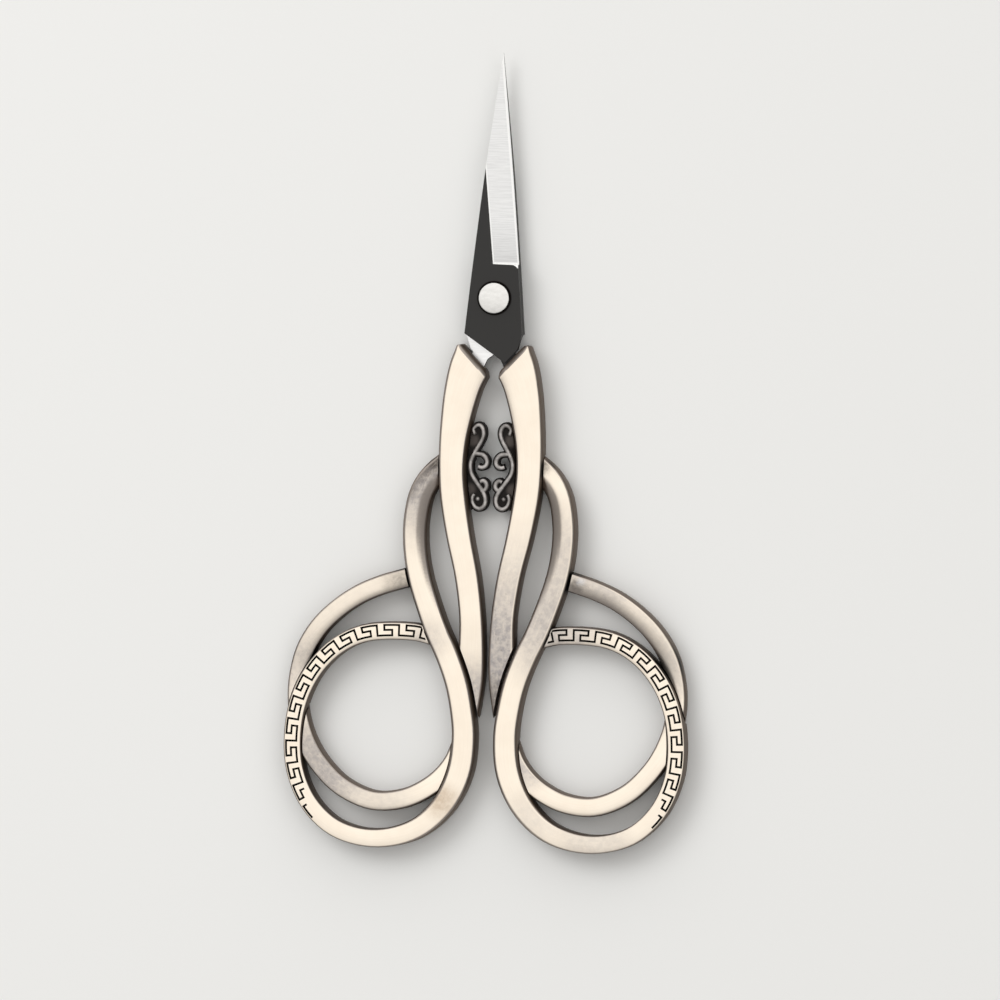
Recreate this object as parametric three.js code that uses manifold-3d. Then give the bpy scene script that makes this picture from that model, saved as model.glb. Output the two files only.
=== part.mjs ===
// Embroidery scissors with woven strip handles, closed and lying on their back.
// Millimetres, +Z up. The pivot axis is Z, the table is z = 0, the blade tips point to +Y
// and the right-hand handle is at +X. The left handle is the mirror image of the right one.

import * as THREE from 'three';
import { mergeVertices } from 'three/addons/utils/BufferGeometryUtils.js';
import Module from 'manifold-3d';

const wasm = await Module();
wasm.setup();

// Fits
const SEAM = 0.3; // between two strips, and round a tang in its socket
const TIP_SEAM = 0.45; // between the arm's pointed end and the stem beside it
const BLADE_GAP = 0.2; // between the inner faces of the two blades
const RIVET_PLAY = 0.1; // round the shank and under each rivet head

// Blades and rivet
const BLADE_THICKNESS = 1.6;
const BLADE_LENGTH = 36.8; // pivot to tip
const BLADE_LEAN = 0.38; // how far the closed tips lie to the right of the axis
const BLADE_WAIST = 19.5; // height where the ground face reaches the spine
const BLADE_WAIST_WIDTH = 3.9;
const BLADE_HEEL = 5.1; // height where the ground face ends
const BLADE_HEEL_WIDTH = 6.8;
const BLADE_SHOULDER = -5.4; // height of the widest place, below the rivet
const BLADE_SHOULDER_WIDTH = 8.7;
const EDGE_THICKNESS = 0.2; // left standing at the cutting edge
const GRIND_INSET = 0.3; // left end of the ground face at its heel, from the axis
const TANG_LENGTH = 6.4;
const TANG_WIDTH = 2.4;
const TANG_THICKNESS = 1;
const RIVET_RADIUS = 1.2;
const RIVET_HEAD_RADIUS = 2.32;
const RIVET_HEAD_THICKNESS = 0.5;
const RIVET_CHAMFER = 0.12;

// The handles are as thick as the two blades with both rivet heads, so all of it lies flat.
const HALF_THICKNESS = BLADE_GAP / 2 + BLADE_THICKNESS + RIVET_PLAY + RIVET_HEAD_THICKNESS;
const THICKNESS = 2 * HALF_THICKNESS;

// Section of every strip: chamfered at the back, rounded and slightly crowned in front
const BACK_CHAMFER = 0.25;
const EDGE_ROUND = 0.5;
const CROWN = 0.12;

// Strip widths
const STEM_WIDTH = 3.6;
const HEEL_WIDTH = 3.8; // of the bow, where it turns at the bottom
const LOOP_WIDTH = 2.75; // of the bow's patterned side
const BAND_WIDTH = 2.9;

// The finger loop of the bow, an ellipse on its middle line whose quarters swell or draw in
const LOOP_ACROSS = 16.1; // its middle, from the axis
const LOOP_BELOW = 66; // its middle, below the pivot
const LOOP_HALF_WIDTH = 12.97;
const LOOP_HALF_HEIGHT = 15.5;
const HEEL_BULGE = 0.025; // lower quarter near the axis
const OUTER_BULGE = 0.05; // lower quarter away from the axis
const UPPER_BULGE = -0.018; // upper quarter away from the axis

// Scroll between the arms: raised lines on a plate that lies below the arm's face
const SCROLL_LINE_WIDTH = 0.6;
const SCROLL_BORDER = 0.2;
const SCROLL_PLATE_THICKNESS = 1.7;
const SCROLL_LINE_HEIGHT = 0.4;
const SCROLL_RECESS = 1.4; // from the arm's face down to the lines

// The arm as its inner and outer edge, from the slanted end at the blade to the point.
// Each row: inner x, inner y, outer x, outer y, how far the face lies below the front.
const ARM = [
  [0.57, -11.44, 5.2, -6.47, 0],
  [1.25, -12.75, 6.5, -9.85, 0],
  [1.78, -14, 7.3, -14, 0],
  [2.9, -18, 7.68, -18, 0],
  [3.67, -22, 7.88, -22, 0],
  [3.9, -26, 7.85, -26, 0],
  [3.53, -30, 7.56, -30, 0],
  [2.54, -36, 6.5, -36, 0],
  [1.32, -42, 5.08, -42, 0],
  [0.58, -48, 4.25, -48, 0],
  [0.3, -54, 4.15, -54, 0.3],
  [0.42, -58, 3.35, -58, 0.6],
  [1.2, -63.6, 2.4, -63.6, 1],
];

// The stem's middle line, from the bow's end under the arm down to the loop.
// Each row: x, y, width, face below the front, fall of the flank near the arm.
const STEM = [
  [6.4, -24.8, STEM_WIDTH, 0, 0.9],
  [8.1, -26.1, STEM_WIDTH, 0, 0.9],
  [9.5, -27.7, STEM_WIDTH, 0, 0.9],
  [10.6, -30, STEM_WIDTH, 0, 0.9],
  [11.25, -34, STEM_WIDTH, 0, 0.9],
  [11.15, -38, STEM_WIDTH, 0, 0.7],
  [10.45, -42, STEM_WIDTH, 0, 0.4],
  [9.2, -46, STEM_WIDTH, 0, 0.1],
  [7.7, -50, STEM_WIDTH, 0, 0],
  [5.85, -54, STEM_WIDTH, 0, 0],
  [4.4, -58, STEM_WIDTH, 0, 0],
  [3.55, -62, STEM_WIDTH, 0, 0],
];

// The loop goes on from the stem, round the bottom and up the outer side to the top. Its end
// straightens and runs under the stem.
const LOOP_FIRST_DEGREES = 180;
const LOOP_LAST_DEGREES = 440;
const LOOP_STEP_DEGREES = 20;
const WIDENING_DEGREES = [165, 195]; // from the stem's width to the heel's
const NARROWING_DEGREES = [190, 285]; // from the heel's width to the patterned side's

function loopBulge(degrees) {
  if (degrees < 270) return HEEL_BULGE;
  return degrees < 360 ? OUTER_BULGE : UPPER_BULGE;
}

function loopRow(degrees) {
  const angle = THREE.MathUtils.degToRad(degrees);
  const reach = 1 + loopBulge(degrees) * Math.abs(Math.sin(2 * angle));
  const widened = THREE.MathUtils.smoothstep(degrees, ...WIDENING_DEGREES);
  const narrowed = THREE.MathUtils.smoothstep(degrees, ...NARROWING_DEGREES);
  const width = STEM_WIDTH + (HEEL_WIDTH - STEM_WIDTH) * widened + (LOOP_WIDTH - HEEL_WIDTH) * narrowed;
  return [
    LOOP_ACROSS + LOOP_HALF_WIDTH * reach * Math.cos(angle),
    -LOOP_BELOW + LOOP_HALF_HEIGHT * reach * Math.sin(angle),
    width,
  ];
}

const LOOP = [];
for (let degrees = LOOP_FIRST_DEGREES; degrees <= LOOP_LAST_DEGREES; degrees += LOOP_STEP_DEGREES) {
  LOOP.push(loopRow(degrees));
}
const LOOP_END = [
  [11.3, -50.45, LOOP_WIDTH, 0.3],
  [8.3, -51.05, LOOP_WIDTH, 0.9],
];

// The inner band's middle line, from under the stem, over the finger hole, under the bow's
// outer side and round the bottom of the hole to the stem again. Each row: across and up from
// the loop's middle, in its half widths and half heights, and how far the face lies below the front.
const BAND = [
  [-0.403, 1.552, 0.3],
  [-0.225, 1.51, 0.3],
  [0.008, 1.448, 0.2],
  [0.256, 1.355, 0.2],
  [0.504, 1.213, 0.2],
  [0.721, 1.032, 0.4],
  [0.876, 0.819, 0.8],
  [0.953, 0.6, 1.2],
  [0.977, 0.368, 1.2],
  [0.942, 0.135, 1],
  [0.845, -0.097, 0.5],
  [0.69, -0.303, 0.3],
  [0.426, -0.516, 0.3],
  [0.054, -0.645, 0.3],
  [-0.302, -0.619, 0.3],
  [-0.566, -0.516, 0.5],
  [-0.744, -0.394, 0.8],
  [-0.872, -0.25, 1.1],
  [-0.97, -0.05, 1.2],
].map(([across, up, drop]) => [
  LOOP_ACROSS + LOOP_HALF_WIDTH * across,
  -LOOP_BELOW + LOOP_HALF_HEIGHT * up,
  BAND_WIDTH,
  drop,
]);

// The scroll's lines: a long S with a hook at the top and a spiral at the bottom, and two curls
const SCROLL_S = [
  [2.7, -20.35],
  [2.85, -19.77],
  [2.42, -19.23],
  [1.9, -19.15],
  [1.42, -19.65],
  [1.3, -20.58],
  [1.65, -21.6],
  [2.13, -22.43],
  [2.66, -23.42],
  [3.12, -24.5],
  [3.23, -25.42],
  [3.03, -26.4],
  [2.5, -27.34],
  [1.83, -28.27],
  [1.27, -29.03],
  [0.89, -29.85],
  [0.81, -30.71],
  [1.12, -31.4],
  [1.74, -31.69],
  [2.39, -31.4],
  [2.76, -30.72],
  [2.82, -30.06],
  [2.55, -29.52],
];
const SCROLL_CURLS = [
  [
    [2.66, -23.42], [2.06, -23.47], [1.37, -23.59], [0.83, -24.1],
    [0.69, -24.79], [0.98, -25.36], [1.53, -25.52], [1.99, -25.37],
  ],
  [
    [1.64, -27.64], [1.18, -27.48], [0.73, -27.9],
    [0.68, -28.45], [0.98, -28.87], [1.39, -28.94],
  ],
];
// Rows of the S between which the plate fills the space to the arm
const PLATE_FIRST_ROW = 2;
const PLATE_LAST_ROW = 19;

// Finishes: blackened blades, a bright rivet, antique brass castings and pewter scrolls
const steelDark = { color: 0x3a3836, roughness: 0.5, metalness: 0.7 };
const steelBright = { color: 0xd8d6d2, roughness: 0.3, metalness: 1 };
const brassPlate = { color: 0xdcc8a2, roughness: 0.3, metalness: 0.9 };
const pewter = { color: 0x6f675e, roughness: 0.5, metalness: 0.8 };

// Solids from closed surfaces
function toSolid(geometry) {
  geometry.deleteAttribute('normal');
  geometry.deleteAttribute('uv');
  const merged = mergeVertices(geometry, 1e-4);
  return new wasm.Manifold(new wasm.Mesh({
    numProp: 3,
    vertProperties: new Float32Array(merged.attributes.position.array),
    triVerts: new Uint32Array(merged.index.array),
  }));
}

function toMesh(name, solid, finish) {
  const { vertProperties, triVerts } = solid.getMesh();
  const geometry = new THREE.BufferGeometry();
  geometry.setAttribute('position', new THREE.BufferAttribute(vertProperties, 3));
  geometry.setIndex(new THREE.BufferAttribute(triVerts, 1));
  geometry.computeVertexNormals();
  const mesh = new THREE.Mesh(geometry, new THREE.MeshStandardMaterial(finish));
  mesh.name = name;
  return mesh;
}

// A closed skin over a row of convex rings, each anticlockwise as seen along the way
function loft(rings) {
  const count = rings[0].length;
  const last = (rings.length - 1) * count;
  const index = [];
  for (let k = 1; k < count - 1; k++) {
    index.push(0, k, k + 1);
    index.push(last, last + k + 1, last + k);
  }
  for (let i = 0; i < rings.length - 1; i++) {
    for (let k = 0; k < count; k++) {
      const here = i * count;
      const next = (k + 1) % count;
      const there = here + count;
      index.push(here + k, there + k, there + next);
      index.push(here + k, there + next, here + next);
    }
  }
  const geometry = new THREE.BufferGeometry();
  geometry.setAttribute('position', new THREE.Float32BufferAttribute(rings.flat(2), 3));
  geometry.setIndex(index);
  return toSolid(geometry);
}

function extrude(points, bottom, top) {
  const shape = new THREE.Shape(points);
  const geometry = new THREE.ExtrudeGeometry(shape, { depth: top - bottom, bevelEnabled: false });
  return toSolid(geometry.translate(0, 0, bottom));
}

// A station of a strip: its left and right edge seen along the way, its way, the height of its
// face and how far the right flank falls.
function station(left, right, along, drop, fall) {
  return { left, right, along, top: THICKNESS - Math.max(0, drop), fall: Math.max(0, fall) };
}

// Stations along a strip given by its middle line and width, between two of its rows
const STEPS_PER_ROW = 3;
const SCROLL_STEPS_PER_ROW = 2;

function stripStations(rows, first = 0, last = rows.length - 1, steps = STEPS_PER_ROW) {
  const middle = new THREE.CatmullRomCurve3(
    rows.map(([x, y]) => new THREE.Vector3(x, y, 0)), false, 'centripetal');
  const sizes = new THREE.CatmullRomCurve3(
    rows.map(([, , width, drop = 0, fall = 0]) => new THREE.Vector3(width / 2, drop, fall)),
    false, 'catmullrom');
  const list = [];
  for (let k = first * steps; k <= last * steps; k++) {
    const t = k / ((rows.length - 1) * steps);
    const point = middle.getPoint(t);
    const along = middle.getTangent(t);
    const { x: half, y: drop, z: fall } = sizes.getPoint(t);
    const side = new THREE.Vector3(-along.y, along.x, 0).multiplyScalar(half);
    list.push(station(point.clone().add(side), point.clone().sub(side), along, drop, fall));
  }
  return list;
}

// Stations along the arm, between its outer edge on the left and its inner edge on the right
function armStations() {
  const edge = (column) => new THREE.CatmullRomCurve3(
    ARM.map((row) => new THREE.Vector3(row[column], row[column + 1], row[4])), false, 'centripetal');
  const inner = edge(0);
  const outer = edge(2);
  const steps = (ARM.length - 1) * STEPS_PER_ROW;
  const list = [];
  for (let k = 0; k <= steps; k++) {
    const right = inner.getPoint(k / steps);
    const left = outer.getPoint(k / steps);
    const drop = right.z;
    const along = inner.getTangent(k / steps).add(outer.getTangent(k / steps)).setZ(0).normalize();
    list.push(station(left.setZ(0), right.setZ(0), along, drop, 0));
  }
  return list;
}

function grown(place, by) {
  const side = place.left.clone().sub(place.right).normalize().multiplyScalar(by);
  return { ...place, left: place.left.clone().add(side), right: place.right.clone().sub(side) };
}

function shifted(place, by) {
  const way = place.along.clone().multiplyScalar(by);
  return { ...place, left: place.left.clone().add(way), right: place.right.clone().add(way) };
}

// Section of a strip
const EDGE_MIDDLE = 1 - Math.SQRT1_2;
const EDGE_LIMIT = 0.4; // most of the width that a round or chamfer may take
const CREST = 0.4; // place of the crown between the right and the left edge

function stripRing({ left, right, top, fall }) {
  const width = left.distanceTo(right);
  const chamfer = Math.min(BACK_CHAMFER, EDGE_LIMIT * width);
  const round = Math.min(EDGE_ROUND, EDGE_LIMIT * width);
  const at = (distance, z) => {
    const point = right.clone().lerp(left, distance / width);
    return [point.x, point.y, z];
  };
  const topLeft = top - CROWN;
  const topRight = top - CROWN - fall;
  const soft = EDGE_MIDDLE * round;
  return [
    at(width - chamfer, 0),
    at(chamfer, 0),
    at(0, chamfer),
    at(0, topRight - round),
    at(soft, topRight - soft),
    at(round, topRight),
    at(CREST * width, top),
    at(width - round, topLeft),
    at(width - soft, topLeft - soft),
    at(width, topLeft - round),
    at(width, chamfer),
  ];
}

// Stations of a stretch of a strip made wider and longer by a seam
function withSeam(stations, seam) {
  const wide = stations.map((place) => grown(place, seam));
  return [shifted(wide[0], -seam), ...wide, shifted(wide[wide.length - 1], seam)];
}

// A straight-walled block over a stretch of a strip
function block(stations, bottom, top) {
  return loft(stations.map(({ left, right }) => [
    [left.x, left.y, bottom],
    [right.x, right.y, bottom],
    [right.x, right.y, top],
    [left.x, left.y, top],
  ]));
}

// Half laps: the strip that runs over keeps its front half there, the one under its back half.
const BELOW = -THICKNESS;
const ABOVE = 2 * THICKNESS;
const OVER_BOTTOM = HALF_THICKNESS + SEAM / 2;
const UNDER_TOP = HALF_THICKNESS - SEAM / 2;

const BOW = [...STEM, ...LOOP, ...LOOP_END];
const TAIL_FIRST_ROW = STEM.length + LOOP.length - 1; // from here the loop's end is a body of its own
const LAP_LAST_ROW = 2; // the stem runs under the arm down to this row
const ARM_LAP_FIRST_ROW = 3; // rows of the arm that run over the stem
const ARM_LAP_LAST_ROW = 7;
const TRIM_FIRST_ROW = 7; // rows of the stem that the arm's point lies against
const TRIM_LAST_ROW = 12;

const armPlaces = armStations();
const bowPlaces = stripStations(BOW, 0, TAIL_FIRST_ROW);
const tailPlaces = stripStations(BOW, TAIL_FIRST_ROW);
const bandPlaces = stripStations(BAND);

function makeBow() {
  const ring = loft(bowPlaces.map(stripRing));
  const tail = loft(tailPlaces.map(stripRing));
  const armOver = armPlaces.slice(ARM_LAP_FIRST_ROW * STEPS_PER_ROW, ARM_LAP_LAST_ROW * STEPS_PER_ROW);
  const underArm = block(withSeam(armOver, SEAM), UNDER_TOP, ABOVE);
  const overBand = block(withSeam(bandPlaces, SEAM), BELOW, OVER_BOTTOM);
  return ring.add(tail).subtract(underArm).subtract(overBand);
}

function makeBand() {
  const underBow = block(withSeam(bowPlaces, SEAM), UNDER_TOP, ABOVE);
  const underTail = block(withSeam(tailPlaces, SEAM), UNDER_TOP, ABOVE);
  return loft(bandPlaces.map(stripRing)).subtract(underBow).subtract(underTail);
}

// The slanted end of the arm, which the blade's shoulder lies against
const endInner = new THREE.Vector2(ARM[0][0], ARM[0][1]);
const endOuter = new THREE.Vector2(ARM[0][2], ARM[0][3]);
const endNormal = endOuter.clone().sub(endInner).normalize().rotateAround(new THREE.Vector2(), Math.PI / 2);

function seatPoint(share) {
  return endInner.clone().lerp(endOuter, share).addScaledVector(endNormal, SEAM);
}

// Outline of the tang, from inside the blade's shoulder into the arm, widened by a seam
const TANG_SEAT = 0.43; // its place along the slanted end
const TANG_ROOT = 1.5; // how far the tang reaches back into the shoulder

function tangOutline(seam) {
  const start = seatPoint(TANG_SEAT);
  const [innerX, innerY, outerX, outerY] = ARM[2];
  const aim = new THREE.Vector2((innerX + outerX) / 2, (innerY + outerY) / 2);
  const way = aim.sub(start).normalize();
  const side = new THREE.Vector2(-way.y, way.x).multiplyScalar(TANG_WIDTH / 2 + seam);
  const root = start.clone().addScaledVector(way, -TANG_ROOT);
  const end = start.clone().addScaledVector(way, TANG_LENGTH + seam);
  return [
    root.clone().sub(side),
    end.clone().sub(side),
    end.clone().add(side),
    root.clone().add(side),
  ];
}

function makeArm(tangBottom) {
  const stemUnder = stripStations(BOW, 0, LAP_LAST_ROW);
  const stemBeside = stripStations(BOW, TRIM_FIRST_ROW, TRIM_LAST_ROW);
  const overStem = block(withSeam(stemUnder, SEAM), BELOW, OVER_BOTTOM);
  const besideStem = block(withSeam(stemBeside, TIP_SEAM), BELOW, ABOVE);
  const socket = extrude(tangOutline(SEAM), tangBottom - SEAM, tangBottom + TANG_THICKNESS + SEAM);
  return loft(armPlaces.map(stripRing)).subtract(overStem).subtract(besideStem).subtract(socket);
}

// A blade lying on its inner face, with its handle at +X. Its ground face slopes from the line
// between waist and heel down to the cutting edge; the lean follows the side the blade is on.
const SEAT_HIGH = 0.71; // stretch of the arm's slanted end that the shoulder lies against
const SEAT_LOW = 0.31;
const OUTLINE_STEPS = 9;
const ROUND_STEPS = 40;

function makeBlade(lean) {
  const leanAt = (y) => lean * y / BLADE_LENGTH;
  const side = (sign) => [
    [BLADE_WAIST, BLADE_WAIST_WIDTH],
    [BLADE_HEEL, BLADE_HEEL_WIDTH],
    [BLADE_SHOULDER, BLADE_SHOULDER_WIDTH],
  ].map(([y, width]) => new THREE.Vector2(sign * width / 2 + leanAt(y), y));
  const tip = new THREE.Vector2(lean, BLADE_LENGTH);
  const edgeSide = new THREE.SplineCurve([tip, ...side(1)]).getPoints(OUTLINE_STEPS);
  const spineSide = new THREE.SplineCurve([tip, ...side(-1)]).getPoints(OUTLINE_STEPS).slice(1).reverse();
  const outline = [...edgeSide, seatPoint(SEAT_HIGH), seatPoint(SEAT_LOW), ...spineSide];
  const plate = extrude(outline, 0, BLADE_THICKNESS);
  const tang = extrude(tangOutline(0), 0, TANG_THICKNESS);
  const holeRadius = RIVET_RADIUS + RIVET_PLAY;
  const holeShape = new THREE.CylinderGeometry(holeRadius, holeRadius, 4 * BLADE_THICKNESS, ROUND_STEPS);
  const hole = toSolid(holeShape.rotateX(Math.PI / 2));

  const heel = -GRIND_INSET;
  const waist = -BLADE_WAIST_WIDTH / 2 + leanAt(BLADE_WAIST);
  const grindSlope = (BLADE_THICKNESS - EDGE_THICKNESS) / (BLADE_HEEL_WIDTH / 2 - heel);
  const reach = BLADE_SHOULDER_WIDTH;
  const grindRing = (y) => {
    const x = heel + (waist - heel) * (y - BLADE_HEEL) / (BLADE_WAIST - BLADE_HEEL);
    return [
      [x, y, BLADE_THICKNESS],
      [x + reach, y, BLADE_THICKNESS - grindSlope * reach],
      [x + reach, y, 2 * BLADE_THICKNESS],
      [x, y, 2 * BLADE_THICKNESS],
    ];
  };
  const ground = loft([grindRing(BLADE_HEEL), grindRing(2 * BLADE_LENGTH)]);
  return plate.subtract(ground).add(tang).subtract(hole);
}

function makeRivet() {
  const profile = [
    [0, 0],
    [RIVET_HEAD_RADIUS - RIVET_CHAMFER, 0],
    [RIVET_HEAD_RADIUS, RIVET_CHAMFER],
    [RIVET_HEAD_RADIUS, RIVET_HEAD_THICKNESS],
    [RIVET_RADIUS, RIVET_HEAD_THICKNESS],
    [RIVET_RADIUS, THICKNESS - RIVET_HEAD_THICKNESS],
    [RIVET_HEAD_RADIUS, THICKNESS - RIVET_HEAD_THICKNESS],
    [RIVET_HEAD_RADIUS, THICKNESS - RIVET_CHAMFER],
    [RIVET_HEAD_RADIUS - RIVET_CHAMFER, THICKNESS],
    [0, THICKNESS],
  ].map(([radius, z]) => new THREE.Vector2(radius, z));
  return toSolid(new THREE.LatheGeometry(profile, ROUND_STEPS).rotateX(Math.PI / 2));
}

// Scroll: a plate under the lines and between them and the arm, with the lines raised on it
function lineStations(points, width) {
  return stripStations(points.map(([x, y]) => [x, y, width]), 0, points.length - 1, SCROLL_STEPS_PER_ROW);
}

function makeScroll() {
  const lineTop = THICKNESS - SCROLL_RECESS;
  const plateTop = lineTop - SCROLL_LINE_HEIGHT;
  const plateBottom = plateTop - SCROLL_PLATE_THICKNESS;
  const web = lineStations(SCROLL_S, SCROLL_LINE_WIDTH)
    .slice(PLATE_FIRST_ROW * SCROLL_STEPS_PER_ROW, PLATE_LAST_ROW * SCROLL_STEPS_PER_ROW + 1)
    .map(({ left, right }) => new THREE.Vector2((left.x + right.x) / 2, (left.y + right.y) / 2));
  const highest = SCROLL_S[PLATE_FIRST_ROW][1];
  const lowest = SCROLL_S[PLATE_LAST_ROW][1] - SCROLL_LINE_WIDTH;
  const besideArm = armPlaces.map((place) => grown(place, SEAM).right)
    .filter(({ y }) => y < highest && y > lowest)
    .reverse();
  web.push(...besideArm.map(({ x, y }) => new THREE.Vector2(x, y)));
  let solid = extrude(web, plateBottom, plateTop);
  for (const points of [SCROLL_S, ...SCROLL_CURLS]) {
    const wide = lineStations(points, SCROLL_LINE_WIDTH + 2 * SCROLL_BORDER);
    const line = lineStations(points, SCROLL_LINE_WIDTH);
    solid = solid.add(block(wide, plateBottom, plateTop));
    solid = solid.add(block(line, plateBottom, lineTop));
  }
  return solid.subtract(block(withSeam(armPlaces, SEAM), BELOW, ABOVE));
}

// Assembly
const innerFace = BLADE_GAP / 2; // from the mid-plane between the blades
const scissors = new THREE.Group();

const frontBlade = toMesh('front_blade', makeBlade(BLADE_LEAN), steelDark);
frontBlade.position.z = HALF_THICKNESS + innerFace;
const backBlade = toMesh('back_blade', makeBlade(-BLADE_LEAN), steelDark);
backBlade.position.z = HALF_THICKNESS - innerFace;
backBlade.rotation.y = Math.PI;
scissors.add(frontBlade, backBlade, toMesh('pivot_rivet', makeRivet(), steelBright));

const bow = makeBow();
const band = makeBand();
const scroll = makeScroll();

function addHandle(name, tangBottom, mirror) {
  const handle = new THREE.Group();
  handle.scale.x = mirror;
  handle.add(
    toMesh(`${name}_arm`, makeArm(tangBottom), brassPlate),
    toMesh(`${name}_bow`, bow, brassPlate),
    toMesh(`${name}_inner_band`, band, brassPlate),
    toMesh(`${name}_scroll`, scroll, pewter),
  );
  scissors.add(handle);
}

addHandle('right', HALF_THICKNESS + innerFace, 1);
addHandle('left', HALF_THICKNESS - innerFace - TANG_THICKNESS, -1);

export default scissors;
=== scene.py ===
# %% [markdown]
# # Embroidery scissors with woven brass handles
#
# A small pair of needlework scissors: two slim blackened blades on a flat rivet, and two handles
# cast in pale brass that look woven from strips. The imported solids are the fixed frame. This lesson
# rebuilds every solid with finer sections, real engraving and worn finishes, in the same place.

# %% Load the fixed frame
import math
from collections import namedtuple

import bmesh
import bpy
from mathutils import Matrix, Vector


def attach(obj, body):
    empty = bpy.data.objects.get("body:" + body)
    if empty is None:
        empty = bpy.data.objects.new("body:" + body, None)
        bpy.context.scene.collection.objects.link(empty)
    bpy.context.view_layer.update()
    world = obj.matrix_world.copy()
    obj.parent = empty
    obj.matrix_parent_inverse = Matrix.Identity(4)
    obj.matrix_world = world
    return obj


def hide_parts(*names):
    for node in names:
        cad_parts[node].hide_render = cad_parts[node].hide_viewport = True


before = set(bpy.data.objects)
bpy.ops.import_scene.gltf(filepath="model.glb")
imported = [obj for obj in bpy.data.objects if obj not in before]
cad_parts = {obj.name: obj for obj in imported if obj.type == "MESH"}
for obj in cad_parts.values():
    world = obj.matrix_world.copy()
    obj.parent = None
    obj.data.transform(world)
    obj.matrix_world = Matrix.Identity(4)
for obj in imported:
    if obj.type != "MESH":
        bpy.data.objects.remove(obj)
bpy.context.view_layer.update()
print("solids in the frame:", ", ".join(sorted(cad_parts)))

# %% [markdown]
# ## Smooth lines through a few points
#
# Each strip of the handles follows a soft curve. It could be drawn as a Bezier curve with automatic
# handles, but the new strips have to lie exactly where the solids lie, so they use the same line: a
# Catmull-Rom curve, which runs through every point and slows down where the points are close.

# %% A line through points
NUDGE = 1e-3  # small step over which a direction or a slope is measured


def spline(points, at, even=False):
    """The point at a row number, whole or not. An even line takes all its steps as equally long."""
    i = min(int(at), len(points) - 2)
    a, b = points[i], points[i + 1]
    before = points[i - 1] if i else 2 * a - b
    after = points[i + 2] if i + 2 < len(points) else 2 * b - a
    d0, d1, d2 = (1 if even else math.sqrt((q - p).length) for p, q in ((before, a), (a, b), (b, after)))
    leave = ((a - before) / d0 - (b - before) / (d0 + d1) + (b - a) / d1) * d1
    arrive = ((b - a) / d1 - (after - a) / (d1 + d2) + (after - b) / d2) * d1
    t = at - i
    return (
        (2 * t**3 - 3 * t**2 + 1) * a
        + (t**3 - 2 * t**2 + t) * leave
        + (3 * t**2 - 2 * t**3) * b
        + (t**3 - t**2) * arrive
    )


def direction(points, at):
    ahead = spline(points, min(at + NUDGE, len(points) - 1))
    return (ahead - spline(points, max(at - NUDGE, 0))).normalized()


def steps(first, last, per_row):
    """Row numbers from first to last, several to a row."""
    count = round((last - first) * per_row)
    return [first + (last - first) * k / count for k in range(count + 1)]


# %% [markdown]
# ## Stations of a strip
#
# A strip is known by its stations: the left and the right edge seen along the way, the direction, the
# height of its face, and how far its right flank falls away. The stem of each bow has such a flank,
# like one side of a roof, and it fades out further down.

# %% Stations along a strip
MM = 0.001
THICKNESS = 4.6  # of the handles, in millimetres like every size of the scissors below
MIDDLE = THICKNESS / 2

Place = namedtuple("Place", "left right along top fall")


def strip_places(rows, stops):
    """Stations of a strip from rows of x, y, width, drop of the face and fall of the flank."""
    middle = [Vector(row[:2]) for row in rows]
    sizes = [Vector(row[2:]) for row in rows]
    made = []
    for at in stops:
        point, along = spline(middle, at), direction(middle, at)
        width, drop, fall = spline(sizes, at, even=True)
        side = Vector((-along.y, along.x)) * width / 2
        made.append(Place(point + side, point - side, along, THICKNESS - max(0, drop), max(0, fall)))
    return made


def grown(place, by):
    side = (place.left - place.right).normalized() * by
    return place._replace(left=place.left + side, right=place.right - side)


def shifted(place, by):
    way = place.along * by
    return place._replace(left=place.left + way, right=place.right + way)


def with_seam(places, seam):
    """Stations of a stretch made wider and longer by a seam."""
    wide = [grown(place, seam) for place in places]
    return [shifted(wide[0], -seam), *wide, shifted(wide[-1], seam)]


# %% [markdown]
# ## Drawing a section along the way
#
# A strip is a section drawn along its line. A curve with a bevel object would do that too, but it
# can't change the section on the way. So the first ring of points is extruded again and again, and
# each new ring is moved to its own station. The last ring is closed as the first one was. A UV map
# is laid along the way, in millimetres, for the polishing lines of the metal. Flat plates need only
# an outline, which is extruded once.

# %% Sweep, blocks, plates and objects
def parts_of(made, kind):
    """The parts of one kind, such as vertices, that an extrusion made."""
    return [part for part in made["geom"] if isinstance(part, kind)]


def new_ring(before, fresh):
    """The fresh vertices, in the order of the ring that they were extruded from."""
    return [next(e.other_vert(v) for e in v.link_edges if e.other_vert(v) in fresh) for v in before]


def sweep(rings):
    """A closed bmesh drawn from a ring of points through its stations, and its rows of vertices."""
    bm = bmesh.new()
    rows = [[bm.verts.new(Vector(point) * MM) for point in rings[0]]]
    edges = [bm.edges.new(pair) for pair in zip(rows[0], rows[0][1:] + rows[0][:1])]
    bmesh.ops.contextual_create(bm, geom=edges)
    for ring in rings[1:]:
        made = bmesh.ops.extrude_edge_only(bm, edges=edges)
        fresh = set(parts_of(made, bmesh.types.BMVert))
        rows.append(new_ring(rows[-1], fresh))
        for vert, point in zip(rows[-1], ring):
            vert.co = Vector(point) * MM
        edges = [edge for edge in parts_of(made, bmesh.types.BMEdge) if fresh.issuperset(edge.verts)]
    bmesh.ops.contextual_create(bm, geom=edges)
    bmesh.ops.recalc_face_normals(bm, faces=bm.faces)
    return bm, rows


ROUND_TRIP = 1.4  # length round a whole section, in lengths up to the last of its points


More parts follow.
